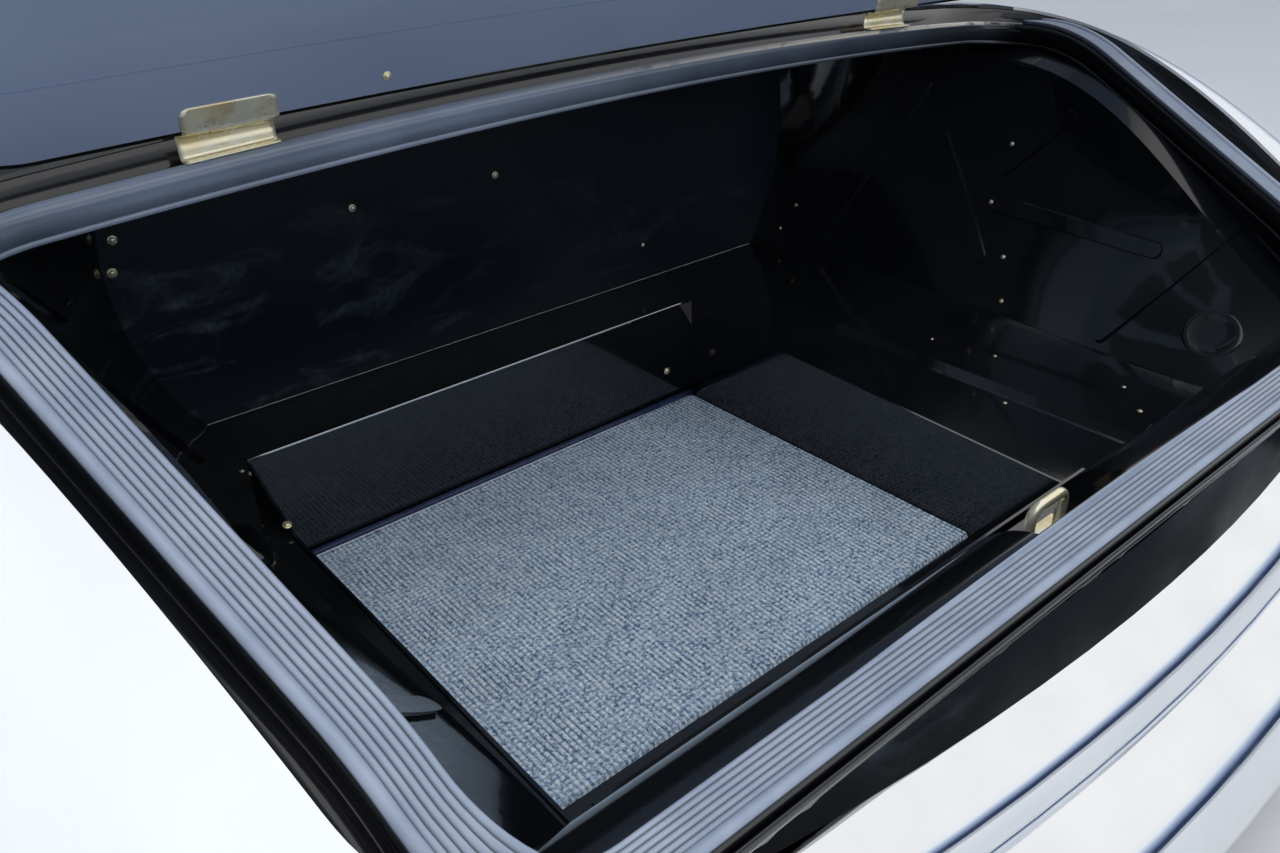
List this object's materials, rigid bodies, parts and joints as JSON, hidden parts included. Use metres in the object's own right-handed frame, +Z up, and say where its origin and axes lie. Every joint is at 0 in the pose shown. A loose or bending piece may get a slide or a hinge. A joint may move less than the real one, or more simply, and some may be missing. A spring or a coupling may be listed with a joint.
{
  "type": "rear body section of a classic sedan with an open boot",
  "caption": "Rear end of a classic sedan body: lined boot with a carpeted well, ribbed seal, chrome bumper and hinged lid standing open.",
  "frame": {"origin": "on the front face of the cross-member at the joint plane, on the centreline, level with the carpet's top", "axes": "+X to the car's right, +Y forward out of the joint plane, +Z up"},
  "size_m": [1.9262, 1.033, 1.1761],
  "materials": {
    "white_paint": "gloss cellulose",
    "black_paint": "gloss black",
    "dull_black": "satin black, dusty",
    "underseal": "rough underseal",
    "seal_rubber": "ribbed",
    "carpet": "ribbed needle felt",
    "chrome": "bright",
    "zinc": "yellow zinc plated",
    "lens": "moulded lens",
    "plate": "blank plate"
  },
  "bodies": {
    "tail": {"opening_rim": "black_paint", "deck_panel": "white_paint", "tail_panel": "dull_black", "outer_wing_left": "white_paint", "outer_wing_right": "white_paint", "arch_liner_left": "underseal", "arch_liner_right": "underseal", "inner_wing_left": "black_paint", "inner_wing_right": "black_paint", "bulkhead": "dull_black", "boot_floor": "black_paint", "well_floor": "black_paint", "well_front_panel": "black_paint", "well_rear_panel": "black_paint", "well_left_panel": "black_paint", "well_right_panel": "black_paint", "carpet": "carpet", "rear_rail": "black_paint", "latch_pocket": "black_paint", "striker": "zinc", "boot_seal": "seal_rubber", "front_crossmember": "underseal", "chassis_rail_left": "underseal", "chassis_rail_right": "underseal", "bumper_roll": "chrome", "bumper_blade": "chrome", "bumper_iron_left": "underseal", "bumper_iron_right": "underseal", "hinge_body_left": "zinc", "hinge_body_right": "zinc", "tail_lamp_left": "lens", "tail_lamp_right": "lens", "lamp_base_left": "chrome", "lamp_base_right": "chrome"},
    "lid": {"lid_skin": "white_paint", "lid_frame": "black_paint", "hinge_lid_left": "zinc", "hinge_lid_right": "zinc", "lid_latch": "zinc", "lid_handle": "chrome", "number_plate": "plate"}
  },
  "joints": [
    {"name": "lid_hinge", "type": "hinge", "parent": "tail", "child": "lid", "pos_m": [0, -0.253, 0.48215], "axis": [-1, 0, 0], "range_deg": [-75, 0]}
  ]
}
